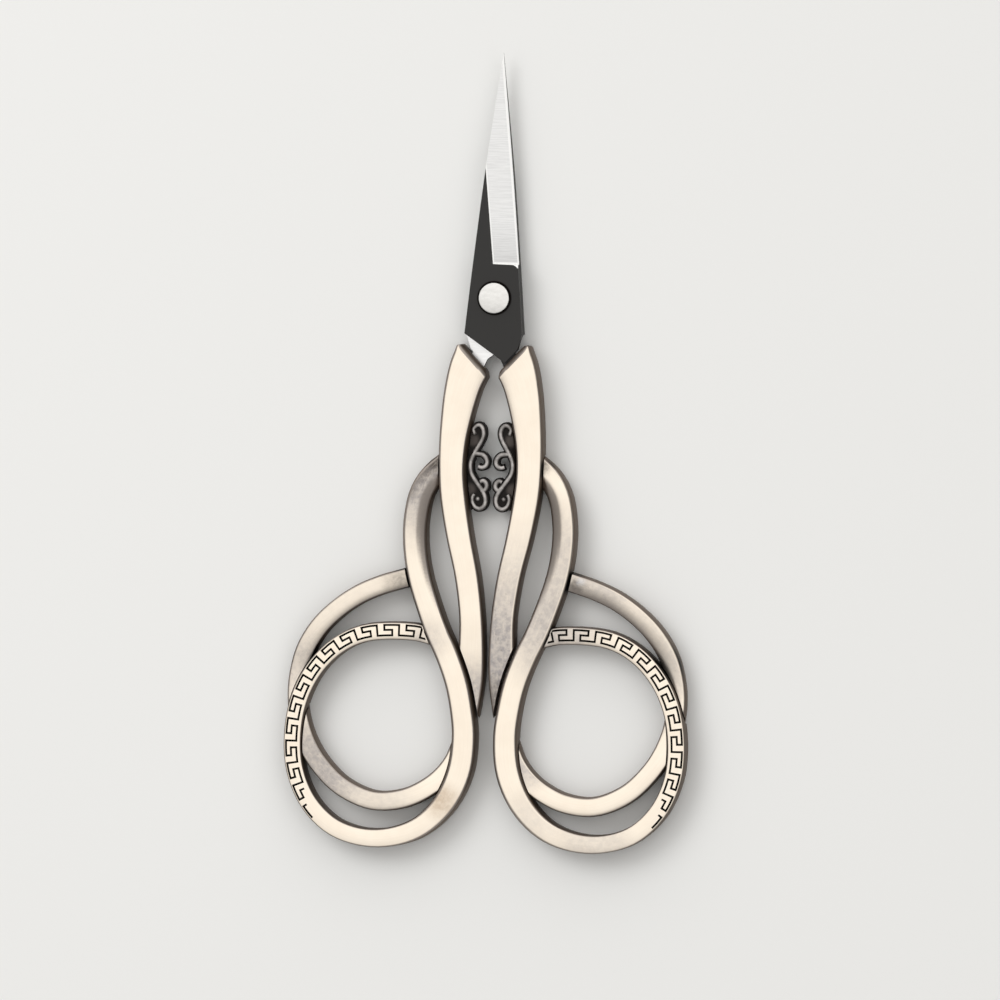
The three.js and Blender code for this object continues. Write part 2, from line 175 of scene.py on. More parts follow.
def lay_uv(bm, rows):
    """Lengths along the way and round the section, in millimetres, as a UV map."""
    layer = bm.loops.layers.uv.new("way")
    count = len(rows[0])
    where = {}
    length = 0
    for i, row in enumerate(rows):
        length += (row[0].co - rows[max(i - 1, 0)][0].co).length / MM
        around = 0
        for k, vert in enumerate(row):
            around += (vert.co - row[max(k - 1, 0)].co).length / MM
            where[vert] = (length, around, k)
    for face in bm.faces:
        numbers = {where[v][2] for v in face.verts}
        wraps = 0 in numbers and count - 1 in numbers and len(face.verts) == 4
        for loop in face.loops:
            length, around, k = where[loop.vert]
            if wraps and k == 0:
                around = where[rows[0][-1]][1] * ROUND_TRIP
            loop[layer].uv = (length, around)


def block(places, bottom, top):
    """A straight-walled block over a stretch of a strip, as a bmesh."""
    bm, _ = sweep([
        [(*p.left, bottom), (*p.right, bottom), (*p.right, top), (*p.left, top)] for p in places
    ])
    return bm


def plate(outline, bottom, top):
    """A flat plate with this outline, as a bmesh."""
    bm = bmesh.new()
    face = bm.faces.new([bm.verts.new(Vector((*point, bottom)) * MM) for point in outline])
    made = bmesh.ops.extrude_face_region(bm, geom=[face], use_keep_orig=True)
    lifted = parts_of(made, bmesh.types.BMVert)
    bmesh.ops.translate(bm, vec=(0, 0, (top - bottom) * MM), verts=lifted)
    bmesh.ops.recalc_face_normals(bm, faces=bm.faces)
    return bm


def linked(name, data):
    made = bpy.data.objects.new(name, data)
    bpy.context.scene.collection.objects.link(made)
    return made


SHARP = math.radians(32)  # edges that turn by more than this stay sharp


def as_object(bm, name):
    """An object at the origin with this mesh, smooth except at its sharp edges."""
    mesh = bpy.data.meshes.new(name)
    bm.to_mesh(mesh)
    bm.free()
    mesh.shade_smooth()
    mesh.set_sharp_from_angle(angle=SHARP)
    return linked(name, mesh)


def strip_object(rings, name):
    bm, rows = sweep(rings)
    lay_uv(bm, rows)
    return as_object(bm, name)


# %% [markdown]
# ## Fitting one strip into another
#
# Where two strips cross, the casting shows one running over and one under, as in a half-lap joint.
# The over strip keeps its front half there and the under strip its back half. The lap could be
# modelled by hand, but its walls follow the other strip's edges, so a Boolean modifier cuts it
# with a block swept along that strip, and its result becomes the mesh.

# %% Boolean fits
SLIVER = 0.001  # points closer than this are merged


def fit(piece, tool, operation="DIFFERENCE"):
    """Cuts the bmesh off the piece, or joins it on, and keeps the result as the piece's mesh."""
    helper = as_object(tool, "helper")
    joint = piece.modifiers.new("lap", "BOOLEAN")
    joint.object, joint.operation, joint.solver = helper, operation, "MANIFOLD"
    graph = bpy.context.evaluated_depsgraph_get()
    mesh = bpy.data.meshes.new_from_object(piece.evaluated_get(graph))
    piece.modifiers.clear()
    used = [piece.data, helper.data]
    piece.data = mesh
    bpy.data.objects.remove(helper)
    for old in used:
        bpy.data.meshes.remove(old)
    mesh.name = piece.name
    mesh.set_sharp_from_angle(angle=SHARP)
    return piece


def without_slivers(piece):
    """Merges the needle-thin faces that several joins in one plane leave behind."""
    bm = bmesh.new()
    bm.from_mesh(piece.data)
    bmesh.ops.remove_doubles(bm, verts=bm.verts, dist=SLIVER * MM)
    bmesh.ops.dissolve_degenerate(bm, edges=bm.edges, dist=SLIVER * MM)
    bm.to_mesh(piece.data)
    bm.free()


def mirrored(piece, name, keep=True):
    """The piece for the other handle, reflected in the plane between the handles."""
    bm = bmesh.new()
    bm.from_mesh(piece.data)
    bmesh.ops.transform(bm, matrix=Matrix.Diagonal((-1, 1, 1, 1)), verts=bm.verts)
    bmesh.ops.reverse_faces(bm, faces=bm.faces)
    if not keep:
        bpy.data.objects.remove(piece)
    return as_object(bm, name)


# %% [markdown]
# ## The section of a strip
#
# Seen at a cut end, a strip has a flat back with softened corners, and a slightly crowned face with
# rounded shoulders. The walls lean out a little down to the middle, where the two halves of the
# casting mould met. The face has extra points across it, which are the edges of the engraved lines
# on the bow.

# %% Section
BACK_CORNER = 0.25
BACK_CUT = 0.3  # how far in a back corner's middle point lies, as a share of the corner
MOST_CORNER = 0.3  # most of the width that one corner, shoulder or leaning wall takes
SHOULDER_STEPS = 4
CROWN = 0.12
MOST_FLANK = 0.85  # most of the width that a flank takes
FLANK_GROWTH = 0.75  # power of its fall that a flank's width grows with
FACE_STEP = 0.004  # least distance between two points of the face
EVEN_FACE = (0.24, 0.34, 0.45, 0.55, 0.66, 0.76)  # points across the face, as shares of the width

# radius of the shoulder, how far the walls lean out, how far that goes beyond the solid, width of a
# flank that falls by 1 mm, and how it bends (1 for a plane)
Section = namedtuple("Section", "shoulder draft spread flank bend")


def face_height(place, section, distance, width):
    """Height of the face at a distance from the right edge."""
    off = 2 * distance / width - 1
    height = place.top - CROWN * off * off
    ridge = min(section.flank * place.fall ** FLANK_GROWTH, MOST_FLANK * width)
    if distance < ridge:
        height -= place.fall * ((ridge - distance) / ridge) ** section.bend
    return height


def shoulder_points(height, wall, radius):
    """The rounded shoulder from the face to the wall, as distances from the edge and heights."""
    near = wall + radius / 10  # where the face's lean is measured
    lean = math.atan(max(0, (height(near + NUDGE) - height(near)) / NUDGE))
    start = wall + radius * (1 - math.sin(lean))
    made = []
    for k in range(SHOULDER_STEPS + 1):
        turn = lean + (math.pi / 2 - lean) * k / SHOULDER_STEPS
        out, down = math.sin(turn) - math.sin(lean), math.cos(lean) - math.cos(turn)
        made.append((start - radius * out, height(start) - radius * down))
    return made


def strip_ring(place, section, shares=EVEN_FACE, inset=0):
    """The points round a strip, from its back on the right over the face to its back on the left."""
    width = (place.left - place.right).length
    most = MOST_CORNER * width
    shoulder, draft, corner = (min(size, most) for size in (section.shoulder, section.draft, BACK_CORNER))
    wall = draft - section.spread
    cut = BACK_CUT * corner
    low = [(wall + corner, 0), (wall + cut, cut), (wall, corner), (-section.spread, MIDDLE)]
    right = shoulder_points(lambda d: face_height(place, section, d, width), wall, shoulder)
    left = shoulder_points(lambda d: face_height(place, section, width - d, width), wall, shoulder)
    face = []
    for k, share in enumerate(shares):
        first = right[0][0] + FACE_STEP * (k + 1)
        last = width - left[0][0] - FACE_STEP * (len(shares) - k)
        distance = min(max(share * width, first), last)
        face.append((distance, face_height(place, section, distance, width)))
    far = [(width - d, z) for d, z in [*left, *reversed(low)]]
    outline = [*low, *reversed(right), *face, *far]
    ring = []
    for distance, z in outline:
        if inset:
            distance = min(max(distance, inset), width - inset)
            z = min(max(z, inset), place.top - inset)
        ring.append((*place.right.lerp(place.left, distance / width), z))
    return ring


# %% [markdown]
# ## The lines of the right handle
#
# The arm carries the blade and runs to a point beside the bow. The bow starts under the arm, comes
# down as the stem, turns round the finger and ends under its own stem. The inner band starts under
# the stem, dips under the bow's outer side, and ends under the stem again.

# %% Rows of the arm, the bow and the inner band
STEM_WIDTH, HEEL_WIDTH, LOOP_WIDTH, BAND_WIDTH = 3.6, 3.8, 2.75, 2.9

# inner x, inner y, outer x, outer y, drop of the face
ARM = [
    (0.57, -11.44, 5.2, -6.47, 0), (1.25, -12.75, 6.5, -9.85, 0), (1.78, -14, 7.3, -14, 0),
    (2.9, -18, 7.68, -18, 0), (3.67, -22, 7.88, -22, 0), (3.9, -26, 7.85, -26, 0),
    (3.53, -30, 7.56, -30, 0), (2.54, -36, 6.5, -36, 0), (1.32, -42, 5.08, -42, 0),
    (0.58, -48, 4.25, -48, 0), (0.3, -54, 4.15, -54, 0.3), (0.42, -58, 3.35, -58, 0.6),
    (1.2, -63.6, 2.4, -63.6, 1),
]
# x, y, drop of the face beside the arm, fall of the flank
STEM = [
    (6.4, -24.8, 1.2, 0.5), (8.1, -26.1, 0.9, 0.62), (9.5, -27.7, 0.4, 0.8), (10.6, -30, 0.1, 0.95),
    (11.25, -34, 0, 0.9), (11.15, -38, 0, 0.74), (10.45, -42, 0, 0.56), (9.2, -46, 0, 0.34),
    (7.7, -50, 0, 0.05), (5.85, -54, 0, 0), (4.4, -58, 0, 0), (3.55, -62, 0, 0),
]
LOOP_CENTRE = Vector((16.1, -66))
LOOP_HALF = Vector((12.97, 15.5))
HEEL_BULGE, OUTER_BULGE, UPPER_BULGE = 0.025, 0.05, -0.018
LOOP_DEGREES = range(180, 441, 20)
WIDENING, NARROWING = (165, 195), (190, 285)  # degrees of the loop where its width changes
LOOP_END = [(11.3, -50.45, 0.3), (8.3, -51.05, 0.9)]  # x, y, drop
BAND_LEANING = (-0.1, 0.6)  # heights between which the band begins to lean
# across and up from the loop's middle in its half sizes, drop
BAND_SHARES = [
    (-0.403, 1.552, 0.3), (-0.225, 1.51, 0.3), (0.008, 1.448, 0.2), (0.256, 1.355, 0.2),
    (0.504, 1.213, 0.2), (0.721, 1.032, 0.4), (0.876, 0.819, 0.8), (0.953, 0.6, 1.2),
    (0.977, 0.368, 1.2), (0.942, 0.135, 1), (0.845, -0.097, 0.5), (0.69, -0.303, 0.3),
    (0.426, -0.516, 0.3), (0.054, -0.645, 0.3), (-0.302, -0.619, 0.3), (-0.566, -0.516, 0.5),
    (-0.744, -0.394, 0.8), (-0.872, -0.25, 1.1), (-0.97, -0.05, 1.2),
]


def smoothstep(value, low, high):
    t = min(1, max(0, (value - low) / (high - low)))
    return t * t * (3 - 2 * t)


def loop_row(degrees):
    angle = math.radians(degrees)
    bulge = HEEL_BULGE if degrees < 270 else OUTER_BULGE if degrees < 360 else UPPER_BULGE
    reach = 1 + bulge * abs(math.sin(2 * angle))
    x, y = LOOP_CENTRE + LOOP_HALF * Vector((math.cos(angle), math.sin(angle))) * reach
    widened = (HEEL_WIDTH - STEM_WIDTH) * smoothstep(degrees, *WIDENING)
    narrowed = (LOOP_WIDTH - HEEL_WIDTH) * smoothstep(degrees, *NARROWING)
    return (x, y, STEM_WIDTH + widened + narrowed, 0, 0)


BOW = [(x, y, STEM_WIDTH, drop, fall) for x, y, drop, fall in STEM]
BOW += [loop_row(degrees) for degrees in LOOP_DEGREES]
TAIL_ROW = len(BOW) - 1  # from here the bow's end straightens towards the stem
BOW += [(x, y, LOOP_WIDTH, drop, 0) for x, y, drop in LOOP_END]
BAND = [
    (*(LOOP_CENTRE + LOOP_HALF * Vector((across, up))), BAND_WIDTH, drop, smoothstep(up, *BAND_LEANING))
    for across, up, drop in BAND_SHARES
]
print(len(ARM), "rows of the arm,", len(BOW), "of the bow,", len(BAND), "of the inner band")

# %% [markdown]
# ## Where strips lap
#
# The solids keep 0.3 mm free round a lapped strip. On the real piece only a thin black line shows in
# most of these places, so the laps are cut closer here. Beside the arm's point there is more room.

# %% Lap blocks
SEAM, LAP_SEAM = 0.3, 0.14  # of the solids, and of the laps here
PER_ROW = 6  # stations to a row
BELOW, ABOVE = -THICKNESS, 2 * THICKNESS
OVER_BOTTOM, UNDER_TOP = MIDDLE + SEAM / 2, MIDDLE - SEAM / 2
ARM_LEAN = 0.28  # fall of the arm's inner edge near the blade
ARM_LEANING = (6, 2)  # rows of the arm where that fall begins and where it is full


def arm_places(stops):
    inner = [Vector((*row[:2], row[4])) for row in ARM]
    outer = [Vector((*row[2:4], row[4])) for row in ARM]
    made = []
    for at in stops:
        right, left = spline(inner, at), spline(outer, at)
        along = (direction(inner, at) + direction(outer, at)).to_2d().normalized()
        fall = ARM_LEAN * smoothstep(at, *ARM_LEANING)
        made.append(Place(left.to_2d(), right.to_2d(), along, THICKNESS - max(0, right.z), fall))
    return made


def stretch(rows, first, last):
    """Stations of a strip between two of its rows."""
    return strip_places(rows, steps(first, last, PER_ROW))


def lap(places, bottom, top, seam=LAP_SEAM):
    return block(with_seam(places, seam), bottom, top)


arm_line = arm_places(steps(0, len(ARM) - 1, PER_ROW))
bow_line = stretch(BOW, 0, TAIL_ROW)
tail_line = stretch(BOW, TAIL_ROW, len(BOW) - 1)
band_line = stretch(BAND, 0, len(BAND) - 1)
stations = [len(line) for line in (arm_line, bow_line, tail_line, band_line)]
print("stations of the arm, the bow, its end and the inner band:", stations)

# %% [markdown]
# ## The arms
#
# The arm is a broad strip whose slanted end takes the blade's tang in a blind socket. The end is
# rounded like the sides. A bevel on its edges would fold over at the small back corners, so a few
# smaller rings lead into the full section instead.

# %% Arms
ARM_SECTION = Section(0.5, 0.1, 0.06, 4.6, 2)
END_RIM = [(0, 1), (0.14, 0.62), (0.55, 0.2), (0.8, 0)]  # way from the end, how much smaller the ring is
STEM_UNDER_ARM = (0, 2)  # rows of the stem that run under the arm
STEM_BESIDE_POINT = (7, 12)  # rows of the stem that the arm's point lies against
TIP_SEAM = 0.45  # room beside that point
TANG_SEAT, TANG_ROOT, TANG_LENGTH, TANG_WIDTH, TANG_THICKNESS = 0.43, 1.5, 6.4, 2.4, 1
BLADE_GAP = 0.2
FRONT_TANG = MIDDLE + BLADE_GAP / 2
BACK_TANG = MIDDLE - BLADE_GAP / 2 - TANG_THICKNESS

end_inner, end_outer = Vector(ARM[0][:2]), Vector(ARM[0][2:4])
end_way = (end_outer - end_inner).normalized()
end_normal = Vector((-end_way.y, end_way.x))  # from the arm to the blade


def seat(share):
    """A point of the blade's shoulder, a seam away from the arm's slanted end."""
    return end_inner.lerp(end_outer, share) + end_normal * SEAM


def tang_places(seam):
    """The tang, from inside the blade's shoulder into the arm."""
    start = seat(TANG_SEAT)
    aim = (Vector(ARM[2][:2]) + Vector(ARM[2][2:4])) / 2
    along = (aim - start).normalized()
    side = Vector((-along.y, along.x)) * (TANG_WIDTH / 2 + seam)
    ends = (start - along * TANG_ROOT, start + along * (TANG_LENGTH + seam))
    return [Place(point + side, point - side, along, THICKNESS, 0) for point in ends]


def make_arm(name, tang_bottom):
    rings = [strip_ring(shifted(arm_line[0], way), ARM_SECTION, inset=less) for way, less in END_RIM]
    after_rim = arm_line[PER_ROW // 2:]
    rings += [strip_ring(place, ARM_SECTION) for place in after_rim]
    arm = strip_object(rings, name)
    fit(arm, lap(stretch(BOW, *STEM_UNDER_ARM), BELOW, OVER_BOTTOM))
    fit(arm, lap(stretch(BOW, *STEM_BESIDE_POINT), BELOW, ABOVE, TIP_SEAM))
    fit(arm, block(tang_places(SEAM), tang_bottom - SEAM, tang_bottom + TANG_THICKNESS + SEAM))
    return arm


right_arm = make_arm("right_arm_brass", FRONT_TANG)
left_arm = mirrored(make_arm("left_arm_raw", BACK_TANG), "left_arm_brass", keep=False)
print("arm:", len(right_arm.data.polygons), "faces")

# %% [markdown]
# ## The engraved meander
#
# The outer side of each bow carries a Greek key, cut about 0.2 mm deep and filled with black. It
# could be a bump in the material, but then it would vanish from the mesh. So the rings of the bow
# are set where the upright strokes of the key begin and end, and the points across its face lie where
# the long strokes do. That makes a grid of faces, so the key can be drawn as a picture in text. Its
# faces are extruded downwards in one go.

# %% Strokes of the key
STROKE, KEY_DEPTH = 0.31, 0.2
KEY_PITCH = 3.29
KEY_START = 1.72  # first full upright stroke, from the bow's end at the stem
KEY_UPRIGHTS = (0, 1.02, 2.2)  # the full upright stroke and two short ones, from the full one
KEY_ROWS = (0.46, 1.2, 2.02)  # outer, middle and inner stroke, from the outer edge of the face
KEY_SHARES = tuple((row + side * STROKE / 2) / LOOP_WIDTH for row in KEY_ROWS for side in (-1, 1))
FULL_KEYS = 11

# X for each sunk face, from the outer to the inner row, going away from the stem
KEY = [
    "XXXXX ",
    "X   X ",
    "X XXX ",
    "X X   ",
    "X XXXX",
]
STEM_END = ["   ", "   ", "   ", "   ", " XX"]
UNFINISHED = [*KEY[:-1], "X     "]
HOOK = ["XXXX", "X   ", "    ", "    ", "    "]
MEANDER = ["".join(parts) for parts in zip(STEM_END, *[KEY] * FULL_KEYS, UNFINISHED, HOOK)]
print(*MEANDER, sep="\n")


def key_lengths():
    """Where the rings of the engraved stretch lie, from the bow's end."""
    made = []
    for number in range(FULL_KEYS + 2):
        for stroke in KEY_UPRIGHTS:
            for side in (-1, 1):
                made.append(KEY_START + number * KEY_PITCH + stroke + side * STROKE / 2)
    return made


# %% [markdown]
# ## The bows
#
# Each bow could be made of two strips, but a joint would show where the stem meets the loop. So it is
# one strip, with the stem's broad section at first and the loop's narrow one further on. Its rings
# lie at the strokes of the key, and about a millimetre apart elsewhere. The last ring is moved on
# until it lies against the stem.

# %% Bows
LOOP_SECTION = Section(0.24, 0.06, -0.006, 2.05, 1.05)
STEM_SECTION = Section(0.6, 0.1, 0.06, 2.05, 1.05)
PLAIN_STEP = 1.0  # way between two rings without engraving
FINE_STEPS = 60  # steps to a row when a length is measured
KEY_RUN_IN = 0.2  # way from the first upright stroke to the last straight ring
KEY_END = 0.7  # share of the rest that the inner stroke runs on towards the stem
TAIL_SEAM = 0.08
STEM_BY_TAIL = (7.8, 8.5)  # rows of the stem where the bow's end meets it
ARM_OVER_STEM = (3, 7)  # rows of the arm that run over the stem
FIRST_FACE_POINT = 4 + SHOULDER_STEPS + 1  # after the wall's four points and those of the shoulder


def rows_at(rows, lengths):
    """Row numbers at lengths measured back from the end of a line."""
    middle = [Vector(row[:2]) for row in rows]
    table = steps(0, len(rows) - 1, FINE_STEPS)[::-1]
    points = [spline(middle, at) for at in table]
    run = [0]
    for a, b in zip(points, points[1:]):
        run.append(run[-1] + (b - a).length)
    found = []
    for length in lengths:
        k = next((k for k in range(1, len(run)) if run[k] >= length), len(run) - 1)
        share = min(1, (length - run[k - 1]) / (run[k] - run[k - 1]))
        found.append(table[k - 1] + (table[k] - table[k - 1]) * share)
    return found


def bow_section(place):
    """The stem's section where the bow is broad, and the loop's where it is narrow."""
    share = smoothstep((place.left - place.right).length, LOOP_WIDTH, STEM_WIDTH)
    return Section(*(a + (b - a) * share for a, b in zip(LOOP_SECTION, STEM_SECTION)))


def bow_lengths():
    """Where the rings of the whole bow lie, from its end."""
    engraved = key_lengths()
    whole = 0
    for line in (bow_line, tail_line):
        whole += sum((b.left + b.right - a.left - a.right).length / 2 for a, b in zip(line, line[1:]))
    rest = whole - engraved[-1]
    count = round(rest / PLAIN_STEP)
    plain = [engraved[-1] + rest * (k + 1) / count for k in range(count)]
    return [*reversed(plain), *reversed(engraved), engraved[0] - KEY_RUN_IN]


def against_stem(ring, along):
    """The last ring of the bow, moved on until it lies against the stem."""
    high, low = (place.left for place in strip_places(BOW, STEM_BY_TAIL))
    into = Vector((low.y - high.y, high.x - low.x)).normalized()
    made = []
    for x, y, z in ring:
        point = Vector((x, y))
        point += along * ((into.dot(high - point) - TAIL_SEAM) / into.dot(along))
        made.append((*point, z))
    return made


def engrave(bm, rows):
    """Extrudes the faces of the key downwards, marks them and returns their number."""
    mark = bm.faces.layers.float.new("engraved")
    place = {v: (way, k) for way, row in enumerate(reversed(rows)) for k, v in enumerate(row)}
    key = []
    for face in bm.faces:
        way, first = (min(numbers) for numbers in zip(*(place[v] for v in face.verts)))
        across = first - FIRST_FACE_POINT
        if 0 <= across < len(MEANDER) and MEANDER[across][way:way + 1] == "X":
            key.append(face)
    strokes = len(key)
    sunk = parts_of(bmesh.ops.extrude_face_region(bm, geom=key), bmesh.types.BMVert)
    bmesh.ops.translate(bm, vec=(0, 0, -KEY_DEPTH * MM), verts=sunk)
    bmesh.ops.delete(bm, geom=[face for face in key if face.is_valid], context="FACES")
    for face in {face for v in sunk for face in v.link_faces}:
        face[mark] = 1
    return strokes


def make_bow(name):
    lengths = bow_lengths()
    places = strip_places(BOW, rows_at(BOW, lengths))
    rings = [strip_ring(place, bow_section(place), KEY_SHARES) for place in places]
    end = against_stem(rings[-1], places[-1].along)
    rings.append([Vector(a).lerp(Vector(b), KEY_END) for a, b in zip(rings[-1], end)])
    rings.append(end)
    bm, rows = sweep(rings)
    lay_uv(bm, rows)
    strokes = engrave(bm, rows)
    bow = as_object(bm, name)
    fit(bow, lap(arm_places(steps(*ARM_OVER_STEM, PER_ROW)), UNDER_TOP, ABOVE))
    fit(bow, lap(band_line, BELOW, OVER_BOTTOM))
    print("bow:", len(bow.data.polygons), "faces,", strokes, "of them in the key before it was cut")
    return bow


right_bow = make_bow("right_bow_brass")
left_bow = mirrored(right_bow, "left_bow_brass")

# %% [markdown]
# ## The inner bands
#
# A plain strip that starts under the stem, swings out, dips under the engraved side of the bow and
# comes back as the inner finger rest. Only its back half goes on under the other strips. Its upper
# half leans towards the hole. One band could be the mirror image of the other, like the bows. But the
# right one leans more and meets the stem with a wider black gap, so the two are made one by one.

# %% Inner bands
BAND_SECTION = Section(0.36, 0.1, 0.06, 4.6, 1.8)
RIGHT_LEAN, LEFT_LEAN = 0.55, 0.15  # fall of the flank where the band leans most


def make_band(name, lean, seam):
    rings = [strip_ring(place._replace(fall=place.fall * lean), BAND_SECTION) for place in band_line]
    band = strip_object(rings, name)
    fit(band, lap(stretch(BOW, 0, len(STEM)), UNDER_TOP, ABOVE, seam))
    fit(band, lap(bow_line, UNDER_TOP, ABOVE))
    fit(band, lap(tail_line, UNDER_TOP, ABOVE))
    print("inner band:", len(band.data.polygons), "faces")
    return band


right_band = make_band("right_inner_band_brass", RIGHT_LEAN, SEAM)
left_band = mirrored(
    make_band("left_inner_band_raw", LEFT_LEAN, LAP_SEAM), "left_inner_band_brass", keep=False,
)

# %% [markdown]
# ## The scrolls
#
# On the inner side of each arm sits a small S-shaped scroll on a black plate. On the real piece it is
# soft metal, cast with the lines standing up. A curve with a round bevel would give round wires, but
# these lines are flat below. So each one is a half-round strip that gets thinner towards its ends, and
# it is joined with a flat plate under it. A bead ends the hook of the S, and another lies in its
# spiral.

# %% Scrolls
PLATE_BOTTOM, PLATE_TOP, LINE_TOP = 1.1, 2.8, 3.2
LINE_WIDTH, BORDER = 0.72, 0.14
LINE_END = 0.85  # share of its width that a line keeps at its ends
LINE_STEPS, ARC_STEPS = 5, 8  # along a line, to a row, and across it
LINE_FLATNESS = 0.6  # 1 for a half-round line, less for a flatter one
BEAD_RADIUS, BEAD_SIDES, BEAD_RINGS = 0.34, 16, 10
BEADS = [(2.7, -20.35), (1.96, -30.23)]  # at the end of the hook and in the spiral
WEB_ROWS = (2, 19)  # rows of the S between which the plate reaches to the arm
SCROLL_S = [
    (2.7, -20.35), (2.85, -19.77), (2.42, -19.23), (1.9, -19.15), (1.42, -19.65), (1.3, -20.58),
    (1.65, -21.6), (2.13, -22.43), (2.66, -23.42), (3.12, -24.5), (3.23, -25.42), (3.03, -26.4),
    (2.5, -27.34), (1.83, -28.27), (1.27, -29.03), (0.89, -29.85), (0.81, -30.71), (1.12, -31.4),
    (1.74, -31.69), (2.39, -31.4), (2.76, -30.72), (2.82, -30.06), (2.55, -29.52),
]
CURLS = [
    [
        (2.66, -23.42), (2.06, -23.47), (1.37, -23.59), (0.83, -24.1),
        (0.69, -24.79), (0.98, -25.36), (1.53, -25.52), (1.99, -25.37),
    ],
    [
        (1.64, -27.64), (1.18, -27.48), (0.73, -27.9),
        (0.68, -28.45), (0.98, -28.87), (1.39, -28.94),
    ],
]


def line_places(points, width, end=1.0):
    """Stations of a line that narrows to a share of its width at both ends."""
    last = len(points) - 1
    stops = steps(0, last, LINE_STEPS)
    places = strip_places([(x, y, width, 0, 0) for x, y in points], stops)
    shares = [end + (1 - end) * math.sin(math.pi * at / last) for at in stops]
    return [grown(place, (share - 1) * width / 2) for place, share in zip(places, shares)]


def line_ring(place):
    """A half-round section that stands in the plate."""
    middle, across = (place.left + place.right) / 2, (place.left - place.right) / 2
    low = (PLATE_BOTTOM + PLATE_TOP) / 2
    arc = []
    for k in range(ARC_STEPS + 1):
        turn = math.pi * k / ARC_STEPS
        rise = (LINE_TOP - PLATE_TOP) * abs(math.sin(turn)) ** LINE_FLATNESS
        arc.append((*(middle - across * math.cos(turn)), PLATE_TOP + rise))
    return [(*place.right, low), *arc, (*place.left, low)]


def web_outline():
    """The outline of the plate between the S and the arm."""
    first, last = WEB_ROWS
    s_line = line_places(SCROLL_S, LINE_WIDTH)[first * LINE_STEPS:last * LINE_STEPS + 1]
    high, low = SCROLL_S[first][1], SCROLL_S[last][1] - LINE_WIDTH
    beside = [grown(place, SEAM).right for place in arm_line]
    back = reversed([point for point in beside if low < point.y < high])
    return [*((place.left + place.right) / 2 for place in s_line), *back]


def make_scroll(name):
    scroll = as_object(plate(web_outline(), PLATE_BOTTOM, PLATE_TOP), name)
    for points in (SCROLL_S, *CURLS):
        fit(scroll, block(line_places(points, LINE_WIDTH + 2 * BORDER), PLATE_BOTTOM, PLATE_TOP), "UNION")
    fit(scroll, block(with_seam(arm_line, SEAM), BELOW, ABOVE))
    for points in (SCROLL_S, *CURLS):
        line, _ = sweep([line_ring(place) for place in line_places(points, LINE_WIDTH, LINE_END)])
        fit(scroll, line, "UNION")
    for point in BEADS:
        bead = bmesh.new()
        spot = Matrix.Translation(Vector((*point, LINE_TOP - BEAD_RADIUS)) * MM)
        bmesh.ops.create_uvsphere(
            bead, u_segments=BEAD_SIDES, v_segments=BEAD_RINGS, radius=BEAD_RADIUS * MM, matrix=spot,
        )
        fit(scroll, bead, "UNION")
    without_slivers(scroll)
    print("scroll:", len(scroll.data.polygons), "faces")
    return scroll


right_scroll = make_scroll("right_scroll_pewter")
left_scroll = mirrored(right_scroll, "left_scroll_pewter")

# %% [markdown]
# ## The blades
#
# Each blade is cut from blackened sheet. A wheel then grinds its outer face towards the cutting edge
# and leaves a bright face with a straight border, a cross line at the heel and a small hook where the
# wheel ran out. The plate is an outline extruded to its thickness. A bevel could slope its edge, but it
# would leave no border or hook, so a wedge is cut away as the wheel does it. The tang and the hole for
# the rivet follow.

# %% Blades
BLADE_LENGTH, BLADE_THICKNESS, BLADE_LEAN = 36.8, 1.6, 0.38
BLADE_STEPS = 10  # of the outline, to a row
BLADE_ROWS = [(19.5, 3.9), (5.1, 6.8), (-5.4, 8.7)]  # y and width at the waist, heel and shoulder
SEATS = (0.71, 0.31)  # stretch of the arm's slanted end that the shoulder lies against
GROUND_SHARP = math.radians(10)  # the ground face meets the plate at a low angle
GRIND_INSET = 0.3  # from the blade's middle to the ground face's border at the heel
EDGE_THICKNESS = 0.2
GRIND_REACH = 8.7  # width of the wedge that is cut away
RUN_OUT = [(4.25, 3.75), (4.6, 3.4), (4.88, 3.05), (5.02, 2.7)]  # y and x of the hook at the heel
HOLE_RADIUS, HOLE_SIDES = 1.3, 48


def blade_outline(lean):
    tip = Vector((lean, BLADE_LENGTH))
    sides = []
    for sign in (1, -1):
        rows = [Vector((sign * width / 2 + lean * y / BLADE_LENGTH, y)) for y, width in BLADE_ROWS]
        line = [tip, tip, *rows, rows[-1]]
        sides.append([spline(line, at, even=True) for at in steps(1, len(line) - 2, BLADE_STEPS)])
    return [*sides[0], *(seat(share) for share in SEATS), *reversed(sides[1][1:])]


def grind_border(lean):
    """Where the ground face begins, as x at the heel and its change with y."""
    heel_y, waist_y = BLADE_ROWS[1][0], BLADE_ROWS[0][0]
    waist = -BLADE_ROWS[0][1] / 2 + lean * waist_y / BLADE_LENGTH
    return -GRIND_INSET, (waist + GRIND_INSET) / (waist_y - heel_y)


def grind_mesh(lean):
    heel_y, heel_width = BLADE_ROWS[1]
    heel_x, change = grind_border(lean)
    slope = (BLADE_THICKNESS - EDGE_THICKNESS) / (heel_width / 2 + GRIND_INSET)
    deep, high = BLADE_THICKNESS - slope * GRIND_REACH, 2 * BLADE_THICKNESS
    far_y = 2 * BLADE_LENGTH
    rings = []
    for y, x in [*RUN_OUT, (heel_y, heel_x), (far_y, heel_x + change * (far_y - heel_y))]:
        far_x = x + GRIND_REACH
        rings.append([(x, y, BLADE_THICKNESS), (far_x, y, deep), (far_x, y, high), (x, y, high)])
    bm, _ = sweep(rings)
    return bm


